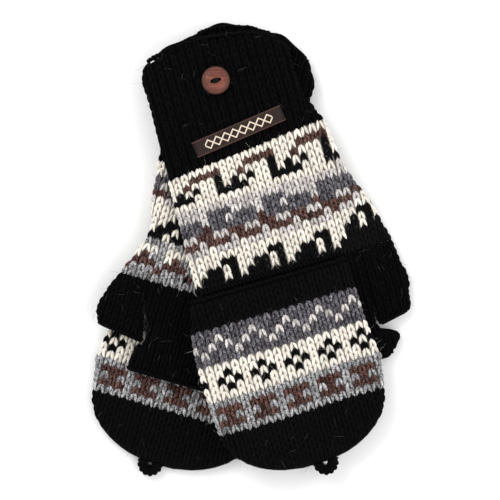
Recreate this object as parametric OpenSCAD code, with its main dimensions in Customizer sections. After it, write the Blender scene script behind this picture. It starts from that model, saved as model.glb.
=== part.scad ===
// Convertible flip-top mittens: a pair, one laid crosswise over the other.
// Each mitten is a ribbed cuff, a patterned hand, a wide open finger section, an open thumb
// and a hood that folds back over the knuckles, where its yarn loop catches a cuff button.
// Each piece is described in its mitten's own terms: x across towards the thumb, "along" from
// the hood hinge towards the fingertips, and height from the palm towards the back of the hand.

/* [Knitting] */
// Thickness of one layer of knitting
wall = 1.8; // [1.4:0.1:2]
// Depth of a flattened tube of knitting, both layers and the air inside
tube_depth = 9; // [8.8:0.1:10]
// Air left between pieces that move past each other
gap = 0.8; // [0.6:0.1:1.2]
// Width of a cast-on or bound-off edge
edge_w = 3; // [2:0.5:4]

/* [Hood] */
// Length of the hood from its hinge to its tip
hood_len = 121.5; // [110:0.5:130]
// Length of the rounded part at the hood's tip
tip_len = 35; // [25:1:45]
// Width of the hood where the tip starts to round
hood_w = 104; // [96:1:110]
// Sideways shift of the hood's middle, away from the thumb
hood_shift = 5; // [0:1:8]
// Radius of the yarn loop, at the middle of its yarn
loop_r = 7; // [6.5:0.5:9]
// Thickness of the loop's yarn
loop_yarn = 2; // [1.6:0.1:2.4]

/* [Fastenings] */
// Diameter of the wooden button
button_d = 17.2; // [14:0.2:20]
// Thickness of the wooden button
button_t = 2.6; // [2:0.1:2.8]
// Distance between the button's two holes
hole_pitch = 4.6; // [4:0.1:6]
// Diameter of each hole in the button
hole_d = 2.2; // [2:0.1:2.4]
// Distance from the hood hinge to the middle of the button
button_reach = 123.8; // [118:0.2:128]
// Length of the woven label
label_len = 58.5; // [50:0.5:62]
// Width of the woven label
label_w = 10; // [8:0.5:12]
// Thickness of the woven label
label_t = 0.8; // [0.6:0.1:1]

/* [Layout] */
// Angle of each mitten from straight ahead; they cross at twice this angle
cross_angle = 16; // [12:1:20]
// Distance over which the upper mitten droops from the lower one to the ground
droop_len = 55; // [45:1:70]

/* [Hidden] */

lower = 0;
upper = 1;
// Where each mitten's hinge middle lies on the ground, its turn, and its mirror sign
hinge_at = [[-29.2, -18.7], [12.4, -16.5]];
turn = [-cross_angle, cross_angle];
flip = [-1, 1];

columns = 15;
row_step = 12;
hinge_gap = 1.6;
layer = tube_depth + gap;
// The lower mitten's palm slopes down towards its cuff, until the button below it nears the ground
pile = 2 * tube_depth + gap;
slope = (tube_depth - button_t) / button_reach;
half_w = 50;
// Where, along the lower mitten, its fingertips and then its hood tip stop holding the upper one up
past_fingers_at = 69;
past_tip_at = 108;
fingers_fall = 24;
tip_fall = 30;
ground_gap = 0.01;
// Rounded edge of a flattened tube, as a share of its depth
side_round = 1 / 3;

black = "#141417";
grey = "#8d8d92";
cream = "#ddd8cb";
wood = "#a0583c";
label_brown = "#40302c";

function last(list) = list[len(list) - 1];
function lerp(a, b, t) = a + (b - a) * t;
function smooth(t) = let (c = min(1, max(0, t))) c * c * (3 - 2 * c);

// Ground plan place of a point of a mitten
function plan(m, x, along) = let (t = turn[m])
    hinge_at[m] + flip[m] * x * [cos(t), sin(t)] - along * [-sin(t), cos(t)];
// The same place measured from the lower mitten's hinge: [sideways, towards its fingertips]
function over_lower(p) = let (d = p - hinge_at[lower], t = turn[lower])
    [d * [cos(t), sin(t)], -d * [-sin(t), cos(t)]];
// Top of the lower mitten at a distance along it
function lower_top(along) = pile + slope * min(along, 0);
// Height of the bed that the upper mitten lies on: the lower one, then drooping to the ground
function bed(p) = let (q = over_lower(p),
        past_fingers = smooth((q[1] - past_fingers_at) / fingers_fall),
        past_tip = smooth((q[1] - past_tip_at) / tip_fall))
    (lerp(lower_top(q[1]), layer, past_fingers) * (1 - past_tip) + gap)
        * (1 - smooth((abs(q[0]) - half_w) / droop_len)) + ground_gap;
// Height in the world of a point of a mitten, from its height above the palm
function lift(m, p, along, h) = m == lower ? lower_top(along) - h : bed(p) + h;
function spot(m, x, along, h) = let (p = plan(m, x, along)) [p[0], p[1], lift(m, p, along, h)];

// A row of knitting is [left x, left along, right x, right along, bow of its middle].
// This is the point a share t of the way across it.
function on_row(m, r, t, h) = spot(m, lerp(r[0], r[2], t),
    lerp(r[1], r[3], t) + r[4] * 4 * t * (1 - t), h);
// Closed loop round a flattened tube at a row: over the back, then under the palm
function ring(m, r, lo, hi, inset) = let (w = r[2] - r[0], e = inset + (hi - lo) * side_round)
    [for (k = [0 : columns - 1]) on_row(m, r, (e + (w - 2 * e) * k / (columns - 1)) / w, hi),
        on_row(m, r, 1 - inset / w, (lo + hi) / 2),
        for (k = [columns - 1 : -1 : 0]) on_row(m, r, (e + (w - 2 * e) * k / (columns - 1)) / w, lo),
        on_row(m, r, inset / w, (lo + hi) / 2)];

// Extra rows between the given ones, so that a piece follows its bed
function refined(rows) = [for (i = [0 : len(rows) - 2])
        let (n = max(1, ceil(abs(rows[i + 1][1] - rows[i][1]) / row_step)))
        for (j = [0 : n - 1]) lerp(rows[i], rows[i + 1], j / n),
    rows[len(rows) - 1]];

// Faces between successive loops, the flat end of one loop, and the rim between two loops
function skin(n, size, start, out) = [for (i = [0 : n - 2]) for (k = [0 : size - 1])
    let (a = start + i * size + k, b = start + i * size + (k + 1) % size, c = b + size, d = a + size)
    each out ? [[a, c, b], [a, d, c]] : [[a, b, c], [a, c, d]]];
function cap(first, size, out) = [[for (k = [0 : size - 1]) first + (out ? k : size - 1 - k)]];
function rim(a0, b0, size, out) = [for (k = [0 : size - 1])
    let (a = a0 + k, b = a0 + (k + 1) % size, c = b0 + (k + 1) % size, d = b0 + k)
    each out ? [[a, c, b], [a, d, c]] : [[a, b, c], [a, c, d]]];

// A flattened tube of knitting between heights lo and hi, open at both ends
module tube(m, rows, lo, hi) {
    r = refined(rows);
    n = len(r);
    size = 2 * columns + 2;
    outer = [for (i = [0 : n - 1]) each ring(m, r[i], lo, hi, 0)];
    inner = [for (i = [0 : n - 1]) each ring(m, r[i], lo + wall, hi - wall, wall)];
    polyhedron(points = concat(outer, inner), faces = concat(
        skin(n, size, 0, true), skin(n, size, n * size, false),
        rim(0, n * size, size, false), rim((n - 1) * size, (2 * n - 1) * size, size, true)),
        convexity = 6);
}

// The same, but closed at its last row; the space inside stops one row earlier
module pocket(m, rows, lo, hi) {
    r = refined(rows);
    n = len(r);
    size = 2 * columns + 2;
    outer = [for (i = [0 : n - 1]) each ring(m, r[i], lo, hi, 0)];
    inner = [for (i = [0 : n - 2]) each ring(m, r[i], lo + wall, hi - wall, wall)];
    polyhedron(points = concat(outer, inner), faces = concat(
        skin(n, size, 0, true), skin(n - 1, size, n * size, false),
        rim(0, n * size, size, false),
        cap((n - 1) * size, size, false), cap((2 * n - 2) * size, size, true)),
        convexity = 6);
}

// A solid strip between heights lo and hi
module strip(m, rows, lo, hi) {
    r = refined(rows);
    n = len(r);
    size = 2 * columns + 2;
    polyhedron(points = [for (i = [0 : n - 1]) each ring(m, r[i], lo, hi, 0)], faces = concat(
        skin(n, size, 0, true), cap(0, size, true), cap((n - 1) * size, size, false)),
        convexity = 4);
}

// Outlines, as rows from the cuff towards the fingertips. Each list is [lower, upper]: the two
// mittens lie with their thumbs spread differently.
cuff_rows = [
    [[-31, -140, 52, -143, -19], [-32, -120, 50, -122, -8], [-38, -92, 48, -92, -1],
        [-44, -62, 46.7, -62, 0]],
    [[-42, -141, 47, -136, -13], [-43, -120, 48, -119, -6], [-44.5, -97, 49, -104, -1],
        [-44.5, -72, 57, -83, 0]]];
hand_rows = [
    [[-44, -62, 46.7, -62, 0], [-45, -40, 44.5, -40, 0], [-45, -15, 40.5, -15, 0],
        [-45, 0, 46, 0, 0], [-45, 11, 50, 11, 0]],
    [[-44.5, -72, 57, -83, 0], [-45, -50, 62, -50, 0], [-46, -25, 72, -25, 0],
        [-47.5, 0, 78, 0, 0]]];
finger_rows = [
    [[-45, 11, 32, 11, 0], [-45, 25, 30.5, 25, 0], [-45, 50, 24.5, 50, 0],
        [-45, 56, 29, 56, 0], [-44, 65, 30, 65, 0]],
    [[-47.5, 0, 54, 0, 0], [-45, 25, 55, 25, 0], [-44, 51, 56, 51, 0],
        [-44, 56, 67, 56.5, 0], [-43, 62, 66, 62, 0], [-43, 65, 62, 66, 0]]];
finger_end = [[-44, 68, 30, 68, 0], [-42, 68.5, 57, 70.5, 0]];
thumb_rows = [
    [[33, 11.4, 50, 11.4, 0], [32.5, 20, 54, 20, 0], [29, 38, 58, 38, 0], [26.5, 46.5, 56, 43, 0]],
    [[55, 0.4, 78, 0.4, 0], [56, 8, 78.5, 8, 0], [57, 26, 80.8, 26, 0], [58, 47, 77.5, 43, 0]]];
thumb_end = [[26, 49.5, 54, 46, 0], [58, 50, 75.5, 46.5, 0]];

hood_root = [-50, hinge_gap, 46, hinge_gap, 0];
hood_mouth = [-51.5, hinge_gap + edge_w, 46, hinge_gap + edge_w, 0];
tip_start = hood_len - tip_len;
function tip_row(share) = let (half = hood_w / 2 * sqrt(1 - share * share),
        along = tip_start + tip_len * share)
    [-hood_shift - half, along, -hood_shift + half, along, 0];
hood_rows = [hood_mouth, [-56, 22, 47, 22, 0], [-58.5, 48, 48, 48, 0], [-58, 66, 51, 66, 0],
    for (share = [0, 0.3, 0.5, 0.66, 0.78, 0.87, 0.94, 0.985]) tip_row(share)];

// Height above the palm of the hood's underside
hood_lo = layer;

module hood(m) pocket(m, hood_rows, hood_lo, hood_lo + tube_depth);
module hood_edge(m) tube(m, [hood_root, hood_mouth], hood_lo, hood_lo + tube_depth);

// The line of seam stitches that stands up from the hand to the hinge line, clear of both
seam_reach = 44;
seam_clear = 0.6;
seam_foot = 0.1;
module hood_seam(m) let (half = hinge_gap - seam_clear)
    strip(m, [[-seam_reach, -half, seam_reach, -half, 0], [-seam_reach, half, seam_reach, half, 0]],
        tube_depth + seam_foot, layer + tube_depth / 2);

// Places its children at a point of a mitten, turned with it, upright on the back of the hand
module on_back(m, x, along, h) translate(spot(m, x, along, h)) rotate([0, 0, turn[m]])
    mirror([0, 0, m == lower ? 1 : 0]) children();

// The loop's two ends stop just short of the hood's tip, so that it swings freely
loop_clear = 0.8;
loop_at = [0.5, hood_len + loop_clear];
module yarn_loop(m) on_back(m, loop_at[0], loop_at[1], hood_lo + tube_depth / 2)
    rotate([0, 0, 180]) rotate_extrude(angle = 180, $fn = 48) translate([loop_r, 0])
        circle(d = loop_yarn, $fn = 24);

// The button has a bevelled edge and a raised rim round a shallow dish
button_x = [9, 0];
bevel = 0.8;
rim_w = 2.2;
dish_slope = 1.2;
dish_depth = 0.7;
module button(m) on_back(m, button_x[m], -button_reach, layer) difference() {
    let (r = button_d / 2, floor_h = button_t - dish_depth) rotate_extrude($fn = 64)
        polygon([[0, 0], [r - bevel, 0], [r, bevel], [r, button_t - bevel], [r - bevel, button_t],
            [r - rim_w, button_t], [r - rim_w - dish_slope, floor_h], [0, floor_h]]);
    for (side = [-1, 1]) translate([side * hole_pitch / 2, 0, -1])
        cylinder(d = hole_d, h = button_t + 2, $fn = 32);
}
// The thread comes up through both holes, from a little below the button, and lies across the dish
thread_d = 1.4;
thread_foot = 0.4;
bar_t = 0.6;
bar_clear = 0.05;
module button_thread(m) on_back(m, button_x[m], -button_reach, layer) {
    bar_h = button_t - dish_depth + bar_clear;
    for (side = [-1, 1]) translate([side * hole_pitch / 2, 0, -thread_foot])
        cylinder(d = thread_d, h = thread_foot + bar_h + bar_clear, $fn = 24);
    translate([-hole_pitch / 2 - thread_d / 2, -thread_d / 2, bar_h])
        cube([hole_pitch + thread_d, thread_d, bar_t]);
}

// The label lies slightly askew above the cuff, held by a stitch near each end
label_mid = [5, -89.8];
label_tilt = 7.4;
label_h = tube_depth + 0.3;
function label_rows(x0, x1, half) = [for (side = [-1, 1])
    [label_mid[0] + x0, label_mid[1] - x0 * tan(label_tilt) + side * half,
        label_mid[0] + x1, label_mid[1] - x1 * tan(label_tilt) + side * half, 0]];
module label(m) strip(m, label_rows(-label_len / 2, label_len / 2, label_w / 2),
    label_h, label_h + label_t);
stitch = [1.6, label_w - 2, 0.5];
stitch_inset = 3;
stitch_gap = 0.5;
module label_stitches(m) for (side = [-1, 1]) let (x = side * (label_len / 2 - stitch_inset))
    on_back(m, label_mid[0] + x, label_mid[1] - x * tan(label_tilt), label_h + label_t + stitch_gap)
        rotate([0, 0, flip[m] * label_tilt]) translate([-stitch[0] / 2, -stitch[1] / 2, 0]) cube(stitch);

module hand_tube(m, rows) tube(m, rows, 0, tube_depth);
function first_edge(rows) = [rows[0] - [0, edge_w, 0, edge_w, 0], rows[0]];

module lower_hood() { color(grey) hood(lower); }
module lower_hood_edge() { color(black) hood_edge(lower); }
module lower_hood_seam() { color(black) hood_seam(lower); }
module lower_loop() { color(black) yarn_loop(lower); }
module lower_cuff() { color(black) hand_tube(lower, cuff_rows[lower]); }
module lower_cuff_edge() { color(black) hand_tube(lower, first_edge(cuff_rows[lower])); }
module lower_hand() { color(cream) hand_tube(lower, hand_rows[lower]); }
module lower_finger_section() { color(black) hand_tube(lower, finger_rows[lower]); }
module lower_finger_edge() { color(black) hand_tube(lower, [last(finger_rows[lower]), finger_end[lower]]); }
module lower_thumb() { color(black) hand_tube(lower, thumb_rows[lower]); }
module lower_thumb_edge() { color(black) hand_tube(lower, [last(thumb_rows[lower]), thumb_end[lower]]); }
module lower_button() { color(wood) button(lower); }
module lower_button_thread() { color(black) button_thread(lower); }
module lower_label() { color(label_brown) label(lower); }
module lower_label_stitches() { color(cream) label_stitches(lower); }

module upper_hood() { color(grey) hood(upper); }
module upper_hood_edge() { color(black) hood_edge(upper); }
module upper_hood_seam() { color(black) hood_seam(upper); }
module upper_loop() { color(black) yarn_loop(upper); }
module upper_cuff() { color(black) hand_tube(upper, cuff_rows[upper]); }
module upper_cuff_edge() { color(black) hand_tube(upper, first_edge(cuff_rows[upper])); }
module upper_hand() { color(cream) hand_tube(upper, hand_rows[upper]); }
module upper_finger_section() { color(black) hand_tube(upper, finger_rows[upper]); }
module upper_finger_edge() { color(black) hand_tube(upper, [last(finger_rows[upper]), finger_end[upper]]); }
module upper_thumb() { color(black) hand_tube(upper, thumb_rows[upper]); }
module upper_thumb_edge() { color(black) hand_tube(upper, [last(thumb_rows[upper]), thumb_end[upper]]); }
module upper_button() { color(wood) button(upper); }
module upper_button_thread() { color(black) button_thread(upper); }
module upper_label() { color(label_brown) label(upper); }
module upper_label_stitches() { color(cream) label_stitches(upper); }

lower_hood();
lower_hood_edge();
lower_hood_seam();
lower_loop();
lower_cuff();
lower_cuff_edge();
lower_hand();
lower_finger_section();
lower_finger_edge();
lower_thumb();
lower_thumb_edge();
lower_button();
lower_button_thread();
lower_label();
lower_label_stitches();
upper_hood();
upper_hood_edge();
upper_hood_seam();
upper_loop();
upper_cuff();
upper_cuff_edge();
upper_hand();
upper_finger_section();
upper_finger_edge();
upper_thumb();
upper_thumb_edge();
upper_button();
upper_button_thread();
upper_label();
upper_label_stitches();
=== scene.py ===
import math

import bpy
import numpy as np
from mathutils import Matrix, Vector


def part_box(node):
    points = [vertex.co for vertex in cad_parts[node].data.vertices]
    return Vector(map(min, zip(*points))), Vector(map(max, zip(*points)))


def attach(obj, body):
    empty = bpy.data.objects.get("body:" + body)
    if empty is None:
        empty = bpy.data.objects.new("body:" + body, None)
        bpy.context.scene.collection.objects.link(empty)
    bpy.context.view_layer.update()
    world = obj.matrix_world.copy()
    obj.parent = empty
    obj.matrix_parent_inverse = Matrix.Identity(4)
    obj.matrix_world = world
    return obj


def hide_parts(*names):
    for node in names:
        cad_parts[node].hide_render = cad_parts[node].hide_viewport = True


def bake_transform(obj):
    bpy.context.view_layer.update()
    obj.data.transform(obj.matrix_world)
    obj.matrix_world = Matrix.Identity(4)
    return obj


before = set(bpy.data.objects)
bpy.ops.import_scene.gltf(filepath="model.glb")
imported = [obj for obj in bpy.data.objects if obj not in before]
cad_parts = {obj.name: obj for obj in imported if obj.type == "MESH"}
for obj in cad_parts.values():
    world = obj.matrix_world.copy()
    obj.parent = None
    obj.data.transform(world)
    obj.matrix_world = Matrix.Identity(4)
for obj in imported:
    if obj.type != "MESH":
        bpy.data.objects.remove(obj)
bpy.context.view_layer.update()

# ---- Camera, floor and light ----------------------------------------------------------------
# The pair is seen from straight above, cuffs at the top, on a white table in soft studio light.
# Two broad lamps at the upper left and right leave only a faint shadow round the wool.

view_width = 0.310
lens_mm = 110.0
eye_height = view_width * lens_mm / 36.0

camera_data = bpy.data.cameras.new("camera")
camera_data.lens = lens_mm
camera = bpy.data.objects.new("camera", camera_data)
camera.location = (-0.0007, -0.0016, eye_height + 0.015)
bpy.context.scene.collection.objects.link(camera)
bpy.context.scene.camera = camera


def area_lamp(name, place, target, size, watts):
    """A square soft box at place, aimed at target."""
    lamp = bpy.data.lights.new(name, "AREA")
    lamp.size = size
    lamp.energy = watts
    holder = bpy.data.objects.new(name, lamp)
    holder.location = place
    holder.rotation_euler = (Vector(target) - Vector(place)).to_track_quat("-Z", "Y").to_euler()
    bpy.context.scene.collection.objects.link(holder)


area_lamp("key_lamp", (-0.55, 0.65, 0.9), (0, 0, 0), 0.6, 6.0)
area_lamp("fill_lamp", (0.75, -0.2, 0.8), (0, 0, 0), 0.9, 4.0)

sky = bpy.data.worlds.new("studio")
sky.use_nodes = True
sky.node_tree.nodes["Background"].inputs["Color"].default_value = (1.0, 1.0, 1.0, 1.0)
sky.node_tree.nodes["Background"].inputs["Strength"].default_value = 0.92
bpy.context.scene.world = sky
bpy.context.scene.view_settings.view_transform = "Standard"

floor_mesh = bpy.data.meshes.new("floor")
floor_half = 3.0
floor_mesh.from_pydata([(-floor_half, -floor_half, 0), (floor_half, -floor_half, 0),
                        (floor_half, floor_half, 0), (-floor_half, floor_half, 0)], [], [(0, 1, 2, 3)])
floor = bpy.data.objects.new("floor", floor_mesh)
bpy.context.scene.collection.objects.link(floor)
paper = bpy.data.materials.new("white_table")
paper.use_nodes = True
paper_shader = paper.node_tree.nodes["Principled BSDF"]
paper_shader.inputs["Base Color"].default_value = (0.93, 0.93, 0.93, 1)
paper_shader.inputs["Roughness"].default_value = 0.9
paper_shader.inputs["Specular IOR Level"].default_value = 0.1
floor_mesh.materials.append(paper)

# ---- How a mitten lies ----------------------------------------------------------------------
# Each mitten is a flattened tube of knitting, worked in its own terms: x across towards the
# thumb, along from the hood's hinge to the fingertips, h up from the palm, all in millimetres.
# The lower mitten lies palm up and the upper one over it, back of the hand up, drooping at its sides.

tube_depth = 9.0
gap = 0.8
layer = tube_depth + gap
pile = 2 * tube_depth + gap
slope = (tube_depth - 2.6) / 123.8
flatten = 0.7           # height over the table below which the wool is pressed flat
lie = {
    "lower": {"at": (-29.2, -18.7), "turn": math.radians(-16), "flip": -1},
    "upper": {"at": (12.4, -16.5), "turn": math.radians(16), "flip": 1},
}


def smooth(t):
    """0 below 0, 1 above 1 and a smooth S between."""
    t = np.clip(t, 0, 1)
    return t * t * (3 - 2 * t)


def lower_top(along):
    """Height of the lower mitten's palm, which slopes down from the hinge to the cuff."""
    return pile + slope * np.minimum(along, 0)


def bed(x, y):
    """Height of what the upper mitten lies on: the lower mitten, drooping to the table beside it."""
    turn = lie["lower"]["turn"]
    dx, dy = x - lie["lower"]["at"][0], y - lie["lower"]["at"][1]
    sideways = dx * math.cos(turn) + dy * math.sin(turn)
    along = dx * math.sin(turn) - dy * math.cos(turn)
    past_fingers, past_tip = smooth((along - 69) / 24), smooth((along - 108) / 30)
    top = lower_top(along) + (layer - lower_top(along)) * past_fingers
    return (top * (1 - past_tip) + gap) * (1 - smooth((np.abs(sideways) - 50) / 55)) + 0.01


def in_world(mitten, points):
    """Points (x, along, h) of a mitten, in millimetres, as places in the world in metres. What
    would lie below the table is pressed up against it, by a decaying exponential."""
    x, along, h = points[..., 0], points[..., 1], points[..., 2]
    turn, flip = lie[mitten]["turn"], lie[mitten]["flip"]
    wx = lie[mitten]["at"][0] + flip * x * math.cos(turn) + along * math.sin(turn)
    wy = lie[mitten]["at"][1] + flip * x * math.sin(turn) - along * math.cos(turn)
    wz = lower_top(along) - h if mitten == "lower" else bed(wx, wy) + h
    wz = np.where(wz < flatten, 0.05 + (flatten - 0.05) * np.exp((np.minimum(wz, flatten) - flatten)
                                                               / (flatten - 0.05)), wz)
    return np.stack([wx, wy, wz], -1) * 0.001


def body_point(mitten, x, along, h):
    """One point of a mitten as a place in the world."""
    return tuple(in_world(mitten, np.array([float(x), float(along), float(h)])))


# ---- The knitted cloth ----------------------------------------------------------------------
# Everything but the button and the label is knitted from thick wool, one strand a row. Each
# stitch shows as two plump legs that meet towards the cuff, over the cloth beneath, coloured
# dark with painted shade for the shadow between the stitches.

course = 4.4            # height of one row of stitches
round_edge = 6.0        # how far in from its fold the flattened tube starts to turn under
stitch_sink = 1.15      # how far the cloth under the stitches lies below the tube's face
leg_foot, leg_top = 0.80, 0.66      # how far a leg reaches back and on from its row, in rows
foot_sunk, top_proud = -0.75, 0.1   # how far its two ends lie off the cloth
painted_gap_shade = 0.26      # painted shade: how much darker than its yarn the cloth between the stitches is coloured
fibre_reach = (2.5, 7.5)            # shortest and longest loose fibre
fold_arc = 0.25 * math.pi * (3 * (round_edge + tube_depth / 2)
                             - math.sqrt((3 * round_edge + tube_depth / 2)
                                         * (round_edge + 1.5 * tube_depth)))


def row_at(rows, s):
    """The row of an outline at shares s of its length: cubic between the given rows."""
    table = np.array(rows, float)
    middle = (table[:, 1] + table[:, 3]) / 2
    knots = (middle - middle[0]) / (middle[-1] - middle[0])
    slopes = np.gradient(table, knots, axis=0)
    i = np.clip(np.searchsorted(knots, s, side="right") - 1, 0, len(knots) - 2)
    width = (knots[i + 1] - knots[i])[..., None]
    t = (np.clip(s, 0, 1) - knots[i])[..., None] / width
    a, b, da, db = table[i], table[i + 1], slopes[i] * width, slopes[i + 1] * width
    return (a * (1 + 2 * t) + da * t) * (1 - t) ** 2 + (b * (3 - 2 * t) - db * (1 - t)) * t * t


def tube_point(piece, s, reach, side, out=0.0):
    """Place (x, along, h) on a flattened tube at a share s of its length.
    reach is the distance across the cloth from x = 0, flat over the middle and round the folds;
    side is 1 on the back of the hand and -1 on the palm; out lifts the point off the face."""
    row = row_at(piece["rows"], s)
    left, right = row[..., 0], row[..., 2]
    turn_in = np.minimum(round_edge, 0.3 * (right - left))
    arc = fold_arc * turn_in / round_edge
    over_right = np.clip((reach - (right - turn_in)) / arc, 0, 1) * math.pi / 2
    over_left = np.clip((left + turn_in - reach) / arc, 0, 1) * math.pi / 2
    x = np.clip(reach, left + turn_in, right - turn_in)
    x = x + turn_in * np.sin(over_right) - turn_in * np.sin(over_left)
    lean = np.sin(over_right) - np.sin(over_left)
    rise = np.cos(over_right) * np.cos(over_left)
    shuts = min(piece["closes_from"], 1)
    closing = np.clip((s - shuts) / (1.001 - shuts), 0, 1) * (shuts < 1)
    half = (tube_depth / 2 - stitch_sink) * np.sqrt(1 - closing ** 2)
    ripple = (0.35 * np.sin(x / 9.0 + 1.3 * side + piece["phase"])
              * np.sin(row[..., 1] / 13.0 + 0.7 * side + piece["phase"])) * rise
    x = x + out * lean
    t = (x - left) / np.maximum(right - left, 1e-6)
    along = row[..., 1] + (row[..., 3] - row[..., 1]) * t + row[..., 4] * 4 * t * (1 - t)
    if piece["closes_from"] >= 1:
        along = along + (s - np.clip(s, 0, 1)) * length_of(piece)
    slack = piece["wavy"] * (1 - np.clip(s, 0, 1)) ** 3
    along = along + slack * (np.sin(x / 7.3 + piece["phase"]) + 0.6 * np.sin(x / 3.1 + 2 * piece["phase"]))
    ripple = ripple + 0.2 * slack * np.sin(x / 6.1 + piece["phase"]) * rise
    h = piece["base"] + tube_depth / 2 + side * ((half + ripple) * rise + out * rise)
    return np.stack([x, along, h], -1)


def length_of(piece):
    """Length of a piece along its middle, in millimetres."""
    first, last = piece["rows"][0], piece["rows"][-1]
    return (last[1] + last[3] - first[1] - first[3]) / 2


def leaves(tail, head, up, wide, high, rings=6, sides=6):
    """Plump leaf-shaped strands, one for each row of tail and head, pointed at both ends.
    Ring i of a leaf lies on the line from tail to head, raised along `up` by a sine arch, with a
    radius that swells as a root of a sine. Returns points, faces and each point's (round, length)."""
    count = len(tail)
    t = (np.arange(rings) + 0.5) / rings
    line = head - tail
    reach = np.linalg.norm(line, axis=1)
    ahead = line / reach[:, None]
    aside = np.cross(ahead, up)
    aside /= np.linalg.norm(aside, axis=1)[:, None]
    swell = np.sin(np.pi * t ** 0.9) ** 0.6
    angle = 2 * np.pi * (np.arange(sides) + 0.5) / sides
    centre = tail[:, None] + line[:, None] * t[:, None] + (up[:, None]
              * (high[:, None] * np.sin(np.pi * t))[..., None])
    body = (centre[:, :, None]
            + aside[:, None, None] * (wide[:, None, None] / 2 * swell[:, None] * np.sin(angle))[..., None]
            - up[:, None, None] * (wide[:, None, None] * 0.42 * swell[:, None] * np.cos(angle))[..., None])
    points = np.concatenate([body.reshape(count, -1, 3), tail[:, None], head[:, None]], 1)
    size = rings * sides + 2
    ring, k = np.meshgrid(np.arange(rings - 1), np.arange(sides), indexing="ij")
    a, b = ring * sides + k, ring * sides + (k + 1) % sides
    quads = np.stack([a, a + sides, b + sides, b], -1).reshape(-1, 4)
    last = (rings - 1) * sides
    k = np.arange(sides)
    cap_tail = np.stack([k, (k + 1) % sides, np.full(sides, size - 2)], -1)
    cap_head = np.stack([last + (k + 1) % sides, last + k, np.full(sides, size - 1)], -1)
    step = (np.arange(count) * size)[:, None, None]
    around = np.tile(angle / (2 * np.pi), rings)
    lengthwise = np.repeat(t, sides)
    marks = np.stack([np.concatenate([around, [0.5, 0.5]]), np.concatenate([lengthwise, [0, 1]])], -1)
    return {"points": points.reshape(-1, 3), "quads": (quads + step).reshape(-1, 4),
            "triangles": (np.concatenate([cap_tail, cap_head]) + step).reshape(-1, 3),
            "marks": np.tile(marks, (count, 1)), "size": size}


def knit_mesh(name, mitten, parts):
    """One mesh from parts, each with local points, faces, marks and yarn colours (r, g, b, fleck)."""
    points = np.concatenate([in_world(mitten, part["points"]) for part in parts])
    starts = np.cumsum([0] + [len(part["points"]) for part in parts[:-1]])
    quads = np.concatenate([part["quads"] + start for part, start in zip(parts, starts)])[:, ::-1]
    triangles = np.concatenate([part["triangles"].reshape(-1, 3) + start
                                for part, start in zip(parts, starts)])[:, ::-1]
    mesh = bpy.data.meshes.new(name)
    mesh.vertices.add(len(points))
    mesh.vertices.foreach_set("co", points.astype(np.float32).ravel())
    corners = np.concatenate([quads.ravel(), triangles.ravel()]).astype(np.int32)
    mesh.loops.add(len(corners))
    mesh.loops.foreach_set("vertex_index", corners)
    mesh.polygons.add(len(quads) + len(triangles))
    first = np.concatenate([np.arange(len(quads)) * 4, len(quads) * 4 + np.arange(len(triangles)) * 3])
    mesh.polygons.foreach_set("loop_start", first.astype(np.int32))
    mesh.update(calc_edges=True)
    mesh.polygons.foreach_set("use_smooth", np.ones(len(mesh.polygons), bool))
    marks = np.concatenate([part["marks"] for part in parts])[corners]
    mesh.uv_layers.new(name="strand").data.foreach_set("uv", marks.astype(np.float32).ravel())
    yarn = np.concatenate([part["yarn"] for part in parts]).astype(np.float32)
    mesh.attributes.new("yarn", "FLOAT_COLOR", "POINT").data.foreach_set("color", yarn.ravel())
    mesh.validate()
    return mesh


def dye(red, green, blue, fleck):
    """A yarn: its colour as seen, made linear, and how strongly it is flecked."""
    return [c / 12.92 if c <= 0.04 else ((c + 0.055) / 1.055) ** 2.4 for c in (red, green, blue)] + [fleck]


yarns = {
    "K": dye(0.028, 0.028, 0.032, 0.20),    # black
    "C": dye(0.935, 0.905, 0.86, 0.16),      # natural cream
    "L": dye(0.80, 0.775, 0.765, 0.34),     # pale heather grey
    "G": dye(0.60, 0.595, 0.60, 0.75),       # heather grey
    "D": dye(0.375, 0.365, 0.385, 0.80),      # dark heather grey
    "B": dye(0.35, 0.25, 0.228, 0.85),     # heather brown
}
chart_span = 84


def chart_table(rows):
    """Yarn colours of a chart as (row, stitch) arrays; each row's letters repeat across."""
    return np.array([[yarns[row[k % len(row)]] for k in range(chart_span)] for row in rows])


def chart_yarn(piece, side, s, reach, x):
    """Yarn of the stitch at a share s of the piece and a distance across it. Towards the thumb
    the pattern rises by the courses that were added there."""
    table = piece["charts"][0 if side > 0 else 1]
    row = np.floor(s * piece["courses"] + piece["gusset"] * s * smooth((x - 42) / 30)).astype(int)
    stitch = np.round((reach - piece["start"]) / piece["wale"]).astype(int)
    return table[np.clip(row, 0, len(table) - 1), stitch % chart_span]


def reach_limits(piece, s):
    """Distances across the cloth, left and right, at which it meets the other face."""
    row = row_at(piece["rows"], s)
    turn_in = np.minimum(round_edge, 0.3 * (row[..., 2] - row[..., 0]))
    arc = fold_arc * turn_in / round_edge
    return row[..., 0] + turn_in - arc, row[..., 2] - turn_in + arc


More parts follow.
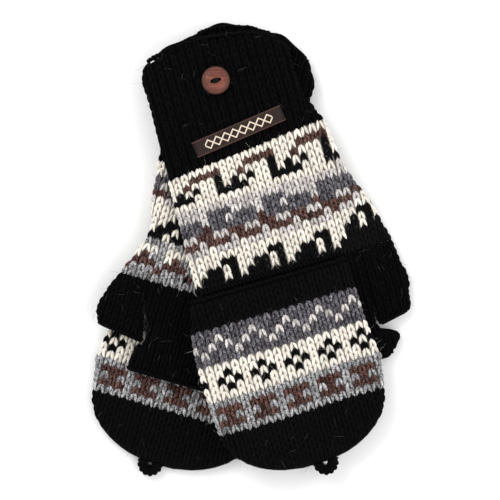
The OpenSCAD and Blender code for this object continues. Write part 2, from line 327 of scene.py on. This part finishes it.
def cloth_shell(piece, around=72, wall=1.5):
    """The cloth under the stitches: an outer and an inner skin, joined at both ends, coloured as its yarn
    darkened by painted shade.
    """
    rows = max(4, int(length_of(piece) / 2.2))
    half = around // 2
    share = (np.arange(half) + 0.5) / half
    skins = []
    for out, end in ((0.0, 1.0), (-wall, piece["closes_from"] + 0.8 * (1 - piece["closes_from"]))):
        s = np.repeat(np.linspace(0, end, rows)[:, None], half, 1)
        low, high = reach_limits(piece, s)
        faces = []
        for side, across in ((1, share), (-1, share[::-1])):
            reach = low + (high - low) * across
            points = tube_point(piece, s, reach, side, out)
            faces.append((points, chart_yarn(piece, side, s, reach, points[..., 0])))
        skins.append([np.concatenate([faces[0][k], faces[1][k]], 1) for k in (0, 1)])
    points = np.concatenate([skin[0].reshape(-1, 3) for skin in skins])
    # painted shade: the cloth's yarn colours are darkened to stand for the shadow between the stitches
    yarn = np.concatenate([skin[1].reshape(-1, 4) for skin in skins]) * [painted_gap_shade, painted_gap_shade, painted_gap_shade, 1]
    i, k = np.meshgrid(np.arange(rows - 1), np.arange(around), indexing="ij")
    a, b = (i * around + k).ravel(), (i * around + (k + 1) % around).ravel()
    outer = np.stack([a, b, b + around, a + around], -1)
    inner = outer[:, ::-1] + rows * around
    k = np.arange(around)
    first = np.stack([(k + 1) % around, k, rows * around + k, rows * around + (k + 1) % around], -1)
    last = first[:, ::-1] + (rows - 1) * around
    marks = np.zeros((len(points), 2))
    return {"points": points, "quads": np.concatenate([outer, inner, first, last]),
            "triangles": np.zeros((0, 3), int), "marks": marks, "yarn": yarn}


def stitches(piece, side, chance):
    """Both legs of every stitch on one face, meeting towards the cuff and parting at the fingers."""
    n, wale = piece["courses"], piece["wale"]
    course_no, stitch_no = np.meshgrid(np.arange(n), np.arange(-30, 31), indexing="ij")
    s, reach = (course_no.ravel() + 0.5) / n, piece["start"] + wale * stitch_no.ravel()
    low, high = reach_limits(piece, s)
    kept = (reach > low - 0.1 * wale) & (reach < high + 0.1 * wale)
    s, reach, low, high = s[kept], reach[kept], low[kept], high[kept]
    middle = tube_point(piece, s, reach, side)
    yarn = chart_yarn(piece, side, s, reach, middle[:, 0])
    up = tube_point(piece, s, reach, side, 1.0) - middle
    legs = []
    for lean in (-1, 1):
        wobble = chance.normal(0, 0.1, (4, len(s)))
        tail = tube_point(piece, s - leg_foot / n, reach + lean * 0.07 * wale + wobble[0], side, foot_sunk)
        head = tube_point(piece, s + leg_top / n + 0.6 * wobble[2] / n,
                          reach + lean * piece["spread"] * wale + wobble[1], side, top_proud)
        leg = leaves(tail, head, up, piece["plump"] * wale * (1 + 0.8 * wobble[3]), np.full(len(s), 0.8))
        shade = 1 + chance.normal(0, 1, len(s)) * (0.05 + 0.22 * yarn[:, 3])
        leg["yarn"] = np.repeat(yarn * np.stack([shade, shade, shade, np.ones(len(s))], -1), leg["size"], 0)
        legs.append(leg)
    return legs


def fuzz(piece, side, count, chance):
    """Loose fibres that stand off one face of the cloth: hair-thin arched leaves."""
    s, share = chance.random(count), chance.random(count)
    low, high = reach_limits(piece, s)
    reach = low + (high - low) * share
    tail = tube_point(piece, s, reach, side, 0.6)
    up = tube_point(piece, s, reach, side, 1.6) - tail
    way, span = chance.random(count) * 2 * np.pi, chance.uniform(*fibre_reach, count)
    head = tail + up * chance.uniform(0, 0.9, count)[:, None] + np.stack(
        [np.cos(way) * span, np.sin(way) * span, np.zeros(count)], -1)
    hair = leaves(tail, head, up, chance.uniform(0.05, 0.11, count), chance.uniform(0.3, 1.5, count), 5, 3)
    tone = chart_yarn(piece, side, s, reach, tail[:, 0])
    pale = np.where(chance.random(count) < 0.12, 0.35, 0.03)[:, None]
    tone = np.concatenate([tone[:, :3] * 0.9 + pale * 0.6, tone[:, 3:] * 0], 1)
    hair["yarn"] = np.repeat(tone, hair["size"], 0)
    return hair


class Value:
    """A shader value. Sums and products of it, with numbers or other values, add Math nodes."""

    def __init__(self, tree, socket):
        self.tree, self.socket = tree, socket

    def node(self, kind, settings=None, inputs=None, output=0):
        """Any node: its type, settings made first, then input values or links, by name or place."""
        new = self.tree.nodes.new(kind)
        for key, value in (settings or {}).items():
            setattr(new, key, value)
        for key, value in (inputs or {}).items():
            if isinstance(value, Value):
                self.tree.links.new(value.socket, new.inputs[key])
            else:
                new.inputs[key].default_value = value
        return Value(self.tree, new.outputs[output])

    def maths(self, operation, *others):
        inputs = {0: self}
        inputs.update({i + 1: other for i, other in enumerate(others)})
        return self.node("ShaderNodeMath", {"operation": operation}, inputs)

    def __add__(self, other):
        return self.maths("ADD", other)

    __radd__ = __add__

    def __mul__(self, other):
        return self.maths("MULTIPLY", other)

    __rmul__ = __mul__

    def __sub__(self, other):
        return self.maths("SUBTRACT", other)

    def mix(self, one, two):
        """Colour one where this value is 0 and colour two where it is 1."""
        return self.node("ShaderNodeMix", {"data_type": "RGBA"}, {0: self, 6: one, 7: two}, 2)


def new_material(name, roughness, sheen=0.0, specular=0.3):
    """An empty material: its shader, and a Value to start its maths from."""
    material = bpy.data.materials.new(name)
    material.use_nodes = True
    tree = material.node_tree
    shader = tree.nodes["Principled BSDF"]
    shader.inputs["Roughness"].default_value = roughness
    shader.inputs["Sheen Weight"].default_value = sheen
    shader.inputs["Sheen Roughness"].default_value = 0.6
    shader.inputs["Specular IOR Level"].default_value = specular
    return material, shader, Value(tree, None)


def feed(start, shader, **links):
    """Links values into the shader's sockets by name, with _ for a space."""
    for key, value in links.items():
        start.tree.links.new(value.socket, shader.inputs[key.replace("_", " ")])


def wool(name, sheen):
    """Thick soft-spun wool: dyed by stitch, flecked, with a slanting twist and fine fuzz."""
    material, shader, start = new_material(name, 0.95, sheen, 0.06)
    place = start.node("ShaderNodeTexCoord", output=3)
    strand = start.node("ShaderNodeUVMap", {"uv_map": "strand"})
    colour = start.node("ShaderNodeAttribute", {"attribute_name": "yarn"})
    fleck = Value(start.tree, colour.socket.node.outputs["Alpha"])
    fibres = start.node("ShaderNodeTexNoise", inputs={"Vector": place, "Scale": 950.0, "Detail": 3.0,
                                                      "Roughness": 0.7})
    flecks = start.node("ShaderNodeMapRange", inputs={0: fibres, 1: 0.36, 2: 0.64, 3: -0.5, 4: 0.5})
    tone = 1 + flecks * fleck * 2.3
    grey = start.node("ShaderNodeCombineColor", inputs={0: tone, 1: tone, 2: tone})
    one = start.node("ShaderNodeMix", {"data_type": "RGBA", "blend_type": "MULTIPLY"},
                     {0: 1.0, 6: colour, 7: grey}, 2)
    round_length = start.node("ShaderNodeSeparateXYZ", inputs={0: strand})
    lengthwise = Value(start.tree, round_length.socket.node.outputs["Y"])
    twist = (round_length * 2 * math.tau + lengthwise * 4 * math.tau).maths("SINE")
    hairs = start.node("ShaderNodeTexNoise", inputs={"Vector": place, "Scale": 3800.0, "Detail": 2.0})
    bump = start.node("ShaderNodeBump", inputs={"Strength": 0.55, "Distance": 0.0004,
                                                "Height": twist * 0.35 + hairs * 1.2})
    feed(start, shader, Base_Color=one, Normal=bump)
    return material


knit_wool = {name: wool(name, sheen) for name, sheen in
             (("black_wool", 0.0), ("patterned_wool", 0.02), ("hood_wool", 0.006))}


def show(name, mesh, material):
    """Puts a finished mesh in the scene, at the origin, with its material."""
    piece = bpy.data.objects.new(name, mesh)
    mesh.materials.append(material)
    bpy.context.scene.collection.objects.link(piece)
    return piece


def knitted(name, mitten, piece, slot, hairs=0):
    """A piece of plain or patterned knitting: the cloth, its stitches on both faces and its fuzz."""
    chance = np.random.default_rng(len(name) * 101 + (7 if mitten == "upper" else 3))
    parts = [cloth_shell(piece)]
    for side in (1, -1):
        parts += stitches(piece, side, chance)
        if hairs:
            parts.append(fuzz(piece, side, hairs, chance))
    return show(mitten + "_" + name, knit_mesh(mitten + "_" + name, mitten, parts), knit_wool[slot])


def plain(rows, base=0.0, wale=5.0, start=0.0, yarn="K", spread=0.40, plump=0.40, phase=0.0,
          closes_from=1.0, charts=None, gusset=0.0, wavy=0.0):
    """The facts of one piece: its outline, its gauge, its charts for back and palm, and how it ends."""
    piece = {"rows": rows, "base": base, "wale": wale, "start": start, "spread": spread, "plump": plump,
             "phase": phase, "closes_from": closes_from, "gusset": gusset, "wavy": wavy}
    piece["courses"] = max(1, round(length_of(piece) / course))
    piece["charts"] = [chart_table(chart) for chart in (charts or ([yarn], [yarn]))]
    return piece


# ---- The cuffs ------------------------------------------------------------------------------
# A long cuff of one-by-one rib in black wool, cast on at the wrist edge, which flares and curls
# a little where it lies on the table. The raised columns are narrow, with deep furrows between.

cuff_rows = {
    "lower": [[-26, -146, 46, -145, -11], [-31, -140, 51, -140, -12], [-32, -120, 50, -122, -8],
              [-38, -92, 48, -92, -1], [-44, -62, 46.7, -62, 0]],
    "upper": [[-38, -147, 42, -141, -6], [-42.5, -141, 47, -136, -8], [-43, -120, 48, -119, -6],
              [-44.5, -97, 49, -104, -1], [-44.5, -72, 57, -83, 0]],
}
edge_w = 3.0
for mitten in lie:
    ribs = plain(cuff_rows[mitten], wale=5.3, spread=0.28, plump=0.34, wavy=1.1)
    cuff = knitted("ribbed_cuff", mitten, ribs, "black_wool", hairs=260)
    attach(cuff, mitten + "_mitten")
    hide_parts(mitten + "_cuff")


# ---- The patterned hands --------------------------------------------------------------------
# Colour knitting in cream, black, greys and brown, two strands a row, in bands: a brown and
# black key pattern, heather greys, brown flecks, and a castle edge that runs into the black.

hand_rows = {
    "lower": [[-44, -62, 46.7, -62, 0], [-45, -40, 44.5, -40, 0], [-45, -15, 40.5, -15, 0],
              [-45, 0, 46, 0, 0], [-45, 11, 50, 11, 0]],
    "upper": [[-44.5, -72, 57, -83, 0], [-45, -50, 62, -50, 0], [-46, -25, 72, -25, 0],
              [-47.5, 0, 78, 0, 0]],
}
back_chart = ["C", "CBBBBCC", "BCCCKCC", "CKCCKCK", "KCCCKKK", "C", "L", "LLDDDLL", "DLDDLDD",
              "DBDDDDD", "LBBL", "BLBB", "LLCL", "C", "CKKCCC", "KCKCCK", "KCKCKK", "K"]
palm_chart = ["C", "CCL", "D", "DDL", "BBBD", "LLC", "C", "CCCCCK", "KCCCKK", "KKCKKC", "CKKKKK",
              "GLGG", "CCGC", "BCGG", "BBGB", "GGBG", "G"]
for mitten in lie:
    hand = knitted("patterned_hand", mitten,
                   plain(hand_rows[mitten], wale=4.95, start=-0.6, charts=(back_chart, palm_chart),
                         gusset=3.4 if mitten == "upper" else 0.0, phase=1.0),
                   "patterned_wool", hairs=340)
    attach(hand, mitten + "_mitten")
    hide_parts(mitten + "_hand")


# ---- The cast-on and bound-off edges --------------------------------------------------------
# Every open end of the knitting is finished by one row of chain, a plump strand laid along the
# rim for each stitch. At the wrist it is the cast-on row; at fingers and thumb it is bound off.


def rim(piece, side, chance):
    """A chain along the rim: one leaf a stitch, from one column to the next, lifted off the face."""
    step = piece["wale"] * 0.5
    reach = np.arange(-120, 121) * step
    s = np.full(len(reach), 0.5)
    low, high = reach_limits(piece, s)
    kept = (reach > low - 0.3 * step) & (reach < high - 0.3 * step)
    s, reach = s[kept], reach[kept]
    wobble = chance.normal(0, 0.12, (3, len(s)))
    tail = tube_point(piece, s - 0.14 + wobble[0], reach - 0.1 * step, side, 0.0)
    head = tube_point(piece, s + 0.14 + wobble[1], reach + 1.15 * step, side, 0.1)
    up = tube_point(piece, s, reach + 0.5 * step, side, 1.0) - tube_point(piece, s, reach + 0.5 * step, side)
    strand = leaves(tail, head, up, 2.1 + wobble[2], np.full(len(s), 0.5))
    yarn = chart_yarn(piece, side, s, reach, tail[:, 0])
    strand["yarn"] = np.repeat(yarn, strand["size"], 0)
    return strand


def edging(name, mitten, piece, slot):
    """A narrow finished edge: its cloth, and a chain along the rim on both faces."""
    chance = np.random.default_rng(len(name) * 57 + (7 if mitten == "upper" else 3))
    parts = [cloth_shell(piece)] + [rim(piece, side, chance) for side in (1, -1)]
    return show(mitten + "_" + name, knit_mesh(mitten + "_" + name, mitten, parts), knit_wool[slot])


def rim_rows(rows, way):
    """Outline of the edge beyond the first row (way -1) or the last row (way 1) of a piece."""
    inner = np.array(rows[0] if way < 0 else rows[-1], float)
    outer = inner + np.array([2.0, way * edge_w, -2.0, way * edge_w, 0])
    return [list(outer), list(inner)] if way < 0 else [list(inner), list(outer)]


for mitten in lie:
    cast_on = edging("cast_on_edge", mitten, plain(rim_rows(cuff_rows[mitten], -1), wale=5.3, wavy=1.1),
                     "black_wool")
    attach(cast_on, mitten + "_mitten")
    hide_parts(mitten + "_cuff_edge")


# ---- The fingerless section -----------------------------------------------------------------
# Plain black knitting over the fingers' roots, open at the end and bound off. The lower one's palm
# shows beside the upper mitten; the upper one's lies hidden under its own hood.

finger_rows = {
    "lower": [[-45, 11, 32, 11, 0], [-45, 25, 30.5, 25, 0], [-45, 50, 24.5, 50, 0],
              [-45, 56, 29, 56, 0], [-44, 65, 30, 65, 0]],
    "upper": [[-47.5, 0, 55.5, 0, 0], [-45, 25, 55.8, 25, 0], [-44, 38, 55.4, 38, 0],
              [-44, 46, 54.8, 46, 0], [-44, 50.5, 54.8, 50.5, 0], [-44, 55, 65, 55, 0],
              [-44, 58, 67.5, 58, 0], [-43, 62, 66, 62, 0], [-43, 65, 62, 66, 0]],
}
finger_end = {"lower": [-44, 68, 30, 68, 0], "upper": [-42, 68.5, 57, 70.5, 0]}
for mitten in lie:
    section = knitted("fingerless_section", mitten, plain(finger_rows[mitten], wale=4.95, spread=0.34,
                                                      plump=0.36, start=-0.6), "black_wool", hairs=200)
    bound_off = edging("finger_bound_off", mitten,
                       plain([finger_rows[mitten][-1], finger_end[mitten]], wale=4.95), "black_wool")
    for piece, node in ((section, "_finger_section"), (bound_off, "_finger_edge")):
        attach(piece, mitten + "_mitten")
        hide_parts(mitten + node)


# ---- The half thumbs ------------------------------------------------------------------------
# A short open tube of the same black knitting, picked up at the side of the hand and bound off
# halfway up the thumb.

thumb_rows = {
    "lower": [[33, 11.4, 50, 11.4, 0], [32.5, 20, 54, 20, 0], [29, 38, 58, 38, 0], [26.5, 46.5, 56, 43, 0]],
    "upper": [[54, 0.4, 78, 0.4, 0], [54.6, 8, 79, 8, 0], [55.4, 26, 81.4, 26, 0], [57, 47, 78, 43, 0]],
}
thumb_end = {"lower": [26, 49.5, 54, 46, 0], "upper": [58, 50, 75.5, 46.5, 0]}
thumb_root = {"lower": (41, 11.4), "upper": (66, 0.4)}
thumb_give = 14
for mitten in lie:
    thumb = knitted("half_thumb", mitten, plain(thumb_rows[mitten], wale=4.6, spread=0.34, plump=0.36,
                                                start=0.4), "black_wool", hairs=90)
    root_x, root_along = thumb_root[mitten]
    body_point(mitten, root_x, root_along, tube_depth / 2)
    body_point(mitten, root_x, root_along + thumb_give, tube_depth / 2)
    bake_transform(thumb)
    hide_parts(mitten + "_thumb")
    bound_off = edging("thumb_bound_off", mitten,
                       plain([thumb_rows[mitten][-1], thumb_end[mitten]], wale=4.6), "black_wool")
    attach(bound_off, mitten + "_thumb_stub")
    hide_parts(mitten + "_thumb_edge")


# ---- The hoods ------------------------------------------------------------------------------
# A round-ended pocket that covers the fingers or folds back. From its black mouth it has a band of
# dark greys, a cream band of small black diamonds, a brown and grey band, and a black tip.

hood_shift, tip_start, tip_length, tip_half = 5, 86.5, 35, 52
hood_root = [-50, 1.6, 46, 1.6, 0]
hood_rows = [[-51.5, 4.6, 46, 4.6, 0], [-56, 22, 47, 22, 0], [-58.5, 48, 48, 48, 0], [-58, 66, 51, 66, 0]]
for share in (0, 0.3, 0.5, 0.66, 0.78, 0.87, 0.94, 0.985):
    half = tip_half * math.sqrt(1 - share ** 2)
    along = tip_start + tip_length * share
    hood_rows.append([-hood_shift - half, along, -hood_shift + half, along, 0])
hood_chart = ["K"] * 4 + ["D", "LDDD", "DLDL", "DDLD", "D"] + ["C", "KCCC", "CKCK", "KCCC", "C"] \
    + ["G", "BGBB", "GGGB", "BGBB", "G"] + ["K"]
hood_courses = 27
for mitten in lie:
    facts = plain(hood_rows, base=layer, wale=5.3, start=0.7, closes_from=0.93, phase=2.0,
                  charts=(hood_chart, hood_chart))
    facts["courses"] = hood_courses
    hood = knitted("knitted_hood", mitten, facts, "hood_wool", hairs=340)
    mouth = edging("hood_mouth", mitten, plain([hood_root, hood_rows[0]], base=layer, wale=5.3),
                   "black_wool")
    for piece, node, finish in ((hood, "_hood", "hood_wool"), (mouth, "_hood_edge", "black_wool")):
        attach(piece, mitten + "_hood_flap")
        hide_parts(mitten + node)


# ---- The seams that hold the hoods ----------------------------------------------------------
# The hood is oversewn to the back of the hand along one line, which is the hinge that it folds
# on: a row of slanting whip stitches in black wool, one end in each piece of knitting.

seam_half, seam_pitch = 44, 2.4
seam_low, seam_high = tube_depth + 0.2, layer + tube_depth / 2


def whip_stitches(x, along, low, high, width):
    """One slanting strand for each x, from the lower cloth at -along up to the upper one at along."""
    tail = np.stack([x - 0.7, np.full(len(x), -along), np.full(len(x), low)], -1)
    head = np.stack([x + 0.7, np.full(len(x), along), np.full(len(x), high)], -1)
    up = np.tile([0.0, -1.0, 0.3], (len(x), 1))
    strand = leaves(tail, head, up, np.full(len(x), width), np.full(len(x), 0.5), 8)
    strand["yarn"] = np.tile(yarns["K"], (len(strand["points"]), 1))
    return strand


for mitten in lie:
    seam_x = np.arange(-seam_half, seam_half + 0.1, seam_pitch)
    seam_mesh = knit_mesh(mitten + "_hood_seam_stitches", mitten,
                          [whip_stitches(seam_x, 1.0, seam_low, seam_high, 2.2)])
    seam = show(mitten + "_hood_seam_stitches", seam_mesh, knit_wool["black_wool"])
    body_point(mitten, 0, -1.0, seam_low)
    body_point(mitten, 0, 1.0, seam_high)
    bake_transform(seam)
    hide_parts(mitten + "_hood_seam")


# ---- The yarn loops -------------------------------------------------------------------------
# A short, thick two-ply cord of the black wool, both ends sewn into the tip of the hood. It slips
# over the cuff's button when the hood is folded back, and lies slack and nearly shut otherwise.

loop_x, loop_root, loop_half, loop_drop, ply_radius = 0.5, 120.6, 4.7, 5.4, 2.6
loop_rings, loop_sides, loop_turns = 90, 20, 3.5


def two_ply(centre, across, above, radius, turns):
    """Two twisted plies as one closed tube: at angle a and share u the tube's radius is the
    plies' own, swelling with the size of cos(a - turns * tau * u) where a ply lies outermost."""
    count = len(centre)
    u = np.linspace(0, 1, count)[:, None]
    angle = np.arange(loop_sides) * 2 * np.pi / loop_sides
    swell = radius * (1.0 + 0.42 * np.abs(np.cos(angle - turns * math.tau * u)))
    body = (centre[:, None] + (across[:, None] * np.cos(angle)[:, None]
                               + above[:, None] * np.sin(angle)[:, None]) * swell[..., None])
    points = np.concatenate([body.reshape(-1, 3), centre[:1], centre[-1:]])
    i, k = np.meshgrid(np.arange(count - 1), np.arange(loop_sides), indexing="ij")
    a, b = (i * loop_sides + k).ravel(), (i * loop_sides + (k + 1) % loop_sides).ravel()
    quads = np.stack([a, b, b + loop_sides, a + loop_sides], -1)
    k, last = np.arange(loop_sides), (count - 1) * loop_sides
    near = np.stack([(k + 1) % loop_sides, k, np.full(loop_sides, len(points) - 2)], -1)
    far = np.stack([last + k, last + (k + 1) % loop_sides, np.full(loop_sides, len(points) - 1)], -1)
    marks = np.stack([np.tile(angle / math.tau, count), np.repeat(u[:, 0] * 6, loop_sides)], -1)
    return {"points": points, "quads": quads, "triangles": np.concatenate([near, far]),
            "marks": np.concatenate([marks, [[0.5, 0], [0.5, 6]]]),
            "yarn": np.tile(yarns["K"], (len(points), 1))}


for mitten in lie:
    turn_round = np.linspace(0, np.pi, loop_rings)
    path = np.stack([loop_x + loop_half * np.cos(turn_round), loop_root + loop_drop * np.sin(turn_round),
                     np.full(loop_rings, layer + tube_depth / 2)], -1)
    ahead = np.gradient(path, axis=0)
    ahead /= np.linalg.norm(ahead, axis=1)[:, None]
    above = np.tile([0.0, 0.0, 1.0], (loop_rings, 1))
    cord = two_ply(path, np.cross(above, ahead), above, ply_radius, loop_turns)
    loop = show(mitten + "_button_loop", knit_mesh(mitten + "_button_loop", mitten, [cord]),
                knit_wool["black_wool"])
    body_point(mitten, loop_x, loop_root, layer + tube_depth / 2)
    body_point(mitten, loop_x, loop_root + 3, layer + tube_depth / 2)
    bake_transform(loop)
    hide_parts(mitten + "_loop")


# ---- The wooden buttons ---------------------------------------------------------------------
# A two-hole button turned from reddish-brown wood, dished inside a raised rim, oiled to a soft
# gloss. Its grain runs straight across it, and its rim is darkened with painted shade, as a
# rounded rim would be.


def turned_wood(name, node):
    """Wood with straight grain along X, drawn from stretched noise, with painted shade darkening it towards the
    rim.
    """
    material, shader, start = new_material(name, 0.38, 0.0, 0.4)
    low, high = (np.array(corner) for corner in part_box(node))
    middle, radius = (low + high) / 2, (high[0] - low[0]) / 2
    place = start.node("ShaderNodeTexCoord", output=3)
    centred = start.node("ShaderNodeMapping", {"vector_type": "POINT"},
                         {"Vector": place, "Location": tuple(-middle)})
    flat = start.node("ShaderNodeVectorMath", {"operation": "MULTIPLY"}, {0: centred, 1: (1.0, 1.0, 0.0)})
    outward = start.node("ShaderNodeVectorMath", {"operation": "LENGTH"}, {0: flat}, "Value")
    grain_place = start.node("ShaderNodeMapping", inputs={"Vector": centred, "Scale": (70.0, 900.0, 900.0)})
    grain = start.node("ShaderNodeTexNoise", inputs={"Vector": grain_place, "Scale": 1.0, "Detail": 6.0,
                                                     "Roughness": 0.65})
    pore_place = start.node("ShaderNodeMapping", inputs={"Vector": centred, "Scale": (400.0, 3600.0, 3600.0)})
    pores = start.node("ShaderNodeTexNoise", inputs={"Vector": pore_place, "Scale": 1.0, "Detail": 2.0})
    streak = start.node("ShaderNodeMapRange", inputs={0: grain, 1: 0.32, 2: 0.66, 3: 0.0, 4: 1.0})
    # painted shade: the wood darkens towards the rim, as the shading of a rounded rim
    painted_rim_shade = start.node("ShaderNodeMapRange", inputs={0: outward, 1: radius * 0.62, 2: radius,
                                                         3: 0.0, 4: 0.75})
    wood = streak.mix(tuple(dye(0.25, 0.115, 0.085, 1)), tuple(dye(0.57, 0.30, 0.225, 1)))
    pored = (pores * 0.35).mix(wood, tuple(dye(0.17, 0.08, 0.06, 1)))
    rim_shaded_wood = painted_rim_shade.mix(pored, tuple(dye(0.19, 0.085, 0.065, 1)))
    bump = start.node("ShaderNodeBump", inputs={"Strength": 0.4, "Distance": 0.0002,
                                                "Height": grain + pores * 0.4})
    feed(start, shader, Base_Color=rim_shaded_wood, Roughness=streak * -0.12 + 0.44, Normal=bump)
    return material


for mitten in lie:
    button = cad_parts[mitten + "_button"]
    wood = turned_wood(mitten + "_button_wood", mitten + "_button")
    if not button.material_slots:
        button.data.materials.append(wood)
    for place in button.material_slots:
        place.material = wood


# ---- The sewing thread ----------------------------------------------------------------------
# Waxed black thread passes up one hole of the button and down the other a few times, and closes
# in a short bar of strands side by side. The label's ends are tacked down with the same thread.

button_x = {"lower": 9, "upper": 0}
button_reach, hole_pitch, button_thick, dish = 123.8, 4.6, 2.6, 0.7
thread_width = 1.0


def sewing_thread(name):
    """Glossy waxed cotton with a fine twist along each strand, and a little lint on it."""
    material, shader, start = new_material(name, 0.75, 0.0, 0.1)
    place = start.node("ShaderNodeTexCoord", output=3)
    strand = start.node("ShaderNodeUVMap", {"uv_map": "strand"})
    split = start.node("ShaderNodeSeparateXYZ", inputs={0: strand})
    lengthwise = Value(start.tree, split.socket.node.outputs["Y"])
    twist = (split * math.tau + lengthwise * 7 * math.tau).maths("SINE")
    lint = start.node("ShaderNodeTexNoise", inputs={"Vector": place, "Scale": 2600.0, "Detail": 3.0})
    tone = lint.mix(tuple(dye(0.01, 0.01, 0.012, 1)), tuple(dye(0.09, 0.085, 0.085, 1)))
    bump = start.node("ShaderNodeBump", inputs={"Strength": 0.5, "Distance": 0.0001, "Height": twist})
    feed(start, shader, Base_Color=tone, Normal=bump)
    return material


def strands(tail, head, width, arch):
    """Thread strands from tail to head, arched away from the back of the hand."""
    tail, head = np.array(tail, float), np.array(head, float)
    up = np.tile([0.0, 0.0, 1.0], (len(tail), 1))
    strand = leaves(tail, head, up, np.full(len(tail), width), np.full(len(tail), arch), 10, 8)
    strand["yarn"] = np.tile(yarns["K"], (len(strand["points"]), 1))
    return strand


thread_finish = sewing_thread("sewing_thread")
for mitten in lie:
    top = layer + button_thick - dish
    offsets = np.array([-1.15, -0.6, 0.0, 0.62, 1.15])
    tail = [[button_x[mitten] - hole_pitch / 2 - 0.3, -button_reach + o, top - 0.7] for o in offsets]
    head = [[button_x[mitten] + hole_pitch / 2 + 0.3, -button_reach + o * 0.8 + 0.1, top - 0.7]
            for o in offsets]
    bar = strands(tail, head, thread_width, 1.3)
    sewn = knit_mesh(mitten + "_button_thread_strands", mitten, [bar])
    thread = show(mitten + "_button_thread_strands", sewn, thread_finish)
    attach(thread, mitten + "_cuff_button")
    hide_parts(mitten + "_button_thread")


# ---- The woven labels -----------------------------------------------------------------------
# A strip of dark brown satin ribbon with a pale woven chain of diamonds, its ends folded under
# and tacked to the cuff. It lies a little askew, and gives with the ribs beneath it.

label_length, label_width, label_thick = 58.5, 10.0, 0.6
label_mid, label_tilt = (5, -89.8), math.radians(7.4)
label_low = tube_depth + 0.35
motif_pitch, motif_height, motif_line = 5.6, 2.7, 0.5


def ribbon():
    """A closed strip over its length u and girth v: flat faces with rounded long edges, v going
    once round, and a slow wave of the whole strip along u. Both ends are capped."""
    lengths, girth = 118, 28
    u = np.linspace(-0.5, 0.5, lengths)[:, None] * label_length
    angle = np.arange(girth) * math.tau / girth
    cx, cy = np.cos(angle), np.sin(angle)
    across = label_width / 2 * np.sign(cx) * np.abs(cx) ** 0.35
    thick = label_thick / 2 * np.sign(cy) * np.abs(cy) ** 0.5
    wave = 0.14 * np.sin(u / 2.65 * math.pi) * (1 - np.abs(across) / label_width) + 0.12 * np.sin(u / 9)
    x = u + across * math.sin(label_tilt)
    points = np.stack([label_mid[0] + x * np.ones(girth),
                       label_mid[1] - u * math.tan(label_tilt) + across,
                       label_low + label_thick / 2 + thick + wave], -1)
    i, k = np.meshgrid(np.arange(lengths - 1), np.arange(girth), indexing="ij")
    a, b = (i * girth + k).ravel(), (i * girth + (k + 1) % girth).ravel()
    quads = np.stack([a, b, b + girth, a + girth], -1)
    ends = np.stack([points[0].mean(0), points[-1].mean(0)])
    total, k, last = lengths * girth, np.arange(girth), (lengths - 1) * girth
    near = np.stack([(k + 1) % girth, k, np.full(girth, total)], -1)
    far = np.stack([last + k, last + (k + 1) % girth, np.full(girth, total + 1)], -1)
    marks = np.stack([(u * np.ones(girth)).ravel(), (across * np.ones((lengths, 1))).ravel()], -1)
    half = label_length / 2
    return {"points": np.concatenate([points.reshape(-1, 3), ends]), "quads": quads,
            "triangles": np.concatenate([near, far]),
            "marks": np.concatenate([marks, [[-half, 0], [half, 0]]]),
            "yarn": np.tile(yarns["B"], (total + 2, 1))}


def woven_ribbon(name):
    """Satin: fine warp ridges along the ribbon, a pale border and a chain of diamonds woven in,
    all from the ribbon's own length and breadth in millimetres."""
    material, shader, start = new_material(name, 0.6, 0.0, 0.15)
    strand = start.node("ShaderNodeUVMap", {"uv_map": "strand"})
    length = start.node("ShaderNodeSeparateXYZ", inputs={0: strand})
    breadth = Value(start.tree, length.socket.node.outputs["Y"])
    off_middle = breadth.maths("ABSOLUTE")
    zigzag = length.maths("PINGPONG", motif_pitch / 2) * (motif_height / (motif_pitch / 2))
    on_line = (off_middle - zigzag).maths("ABSOLUTE").maths("LESS_THAN", motif_line)
    in_span = length.maths("ABSOLUTE").maths("LESS_THAN", label_length * 0.38)
    edge = off_middle.maths("GREATER_THAN", label_width / 2 - 0.75)
    warp = (breadth * (math.tau / 0.34)).maths("SINE")
    weft = (length * (math.tau / 0.42)).maths("SINE")
    specks = start.node("ShaderNodeTexNoise", inputs={"Vector": strand, "Scale": 2.2, "Detail": 4.0})
    ground = specks.mix(tuple(dye(0.10, 0.07, 0.065, 1)), tuple(dye(0.21, 0.155, 0.14, 1)))
    bordered = (edge * 0.5).mix(ground, tuple(dye(0.36, 0.25, 0.20, 1)))
    woven = (on_line * in_span).mix(bordered, tuple(dye(0.88, 0.82, 0.73, 1)))
    bump = start.node("ShaderNodeBump", inputs={"Strength": 0.5, "Distance": 0.0001,
                                                "Height": warp * 0.4 + weft * 0.3 + on_line * in_span})
    feed(start, shader, Base_Color=woven, Normal=bump)
    return material


ribbon_finish = woven_ribbon("label_weave")
for mitten in lie:
    label = show(mitten + "_woven_label", knit_mesh(mitten + "_woven_label", mitten, [ribbon()]),
                 ribbon_finish)
    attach(label, mitten + "_mitten")
    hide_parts(mitten + "_label")
    tail, head = [], []
    for end in (-1, 1):
        for place in np.linspace(-3.6, 3.6, 6):
            x = end * (label_length / 2 - 1.6)
            start_point = [label_mid[0] + x, label_mid[1] - x * math.tan(label_tilt) + place]
            tail.append(start_point + [label_low + label_thick - 0.1])
            head.append([start_point[0] + end * 2.3, start_point[1] + 0.5, label_low + 0.1])
    tacks = show(mitten + "_label_tacks", knit_mesh(mitten + "_label_tacks", mitten,
                 [strands(tail, head, 0.55, 0.4)]), thread_finish)
    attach(tacks, mitten + "_mitten")
    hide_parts(mitten + "_label_stitches")
